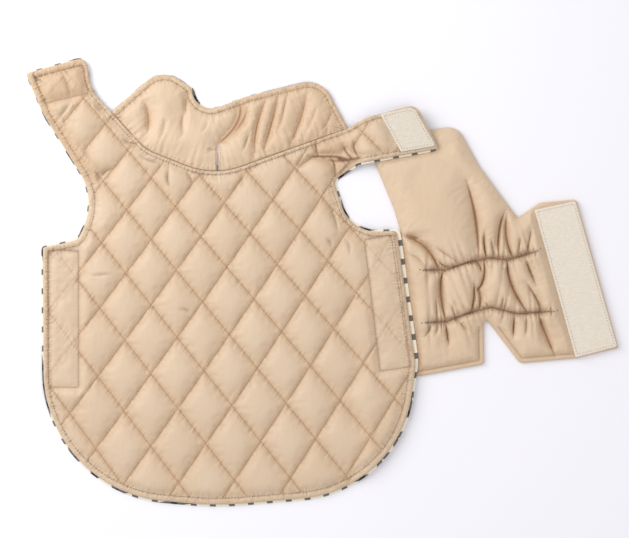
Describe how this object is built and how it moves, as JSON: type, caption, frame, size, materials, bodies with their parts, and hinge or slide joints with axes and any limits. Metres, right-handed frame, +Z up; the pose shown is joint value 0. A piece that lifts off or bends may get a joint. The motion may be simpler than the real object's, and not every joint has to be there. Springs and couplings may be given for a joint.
{
  "type": "dog winter coat",
  "caption": "Quilted, padded winter coat for a small dog, undone and laid flat, with a gathered collar, shoulder straps and an elasticated belly panel.",
  "frame": {"origin": "on the surface the coat lies on, under the middle of its bounding box", "axes": "+X from the left side towards the belly panel's free end, +Y from the hem towards the collar, +Z up from the surface"},
  "size_m": [0.5928, 0.4482, 0.0155],
  "materials": {
    "shell_cloth": "satin",
    "lining_cloth": "matte",
    "hook_tape": "matte",
    "loop_tape": "matte"
  },
  "bodies": {
    "root": {"back_panel": "shell_cloth", "back_lining": "lining_cloth", "collar_shell": "shell_cloth", "collar_lining": "lining_cloth", "belly_panel": "shell_cloth", "strap_hook_tape": "hook_tape", "belly_hook_tape": "hook_tape", "strap_loop_tape": "loop_tape", "side_loop_tape": "loop_tape"}
  },
  "joints": []
}
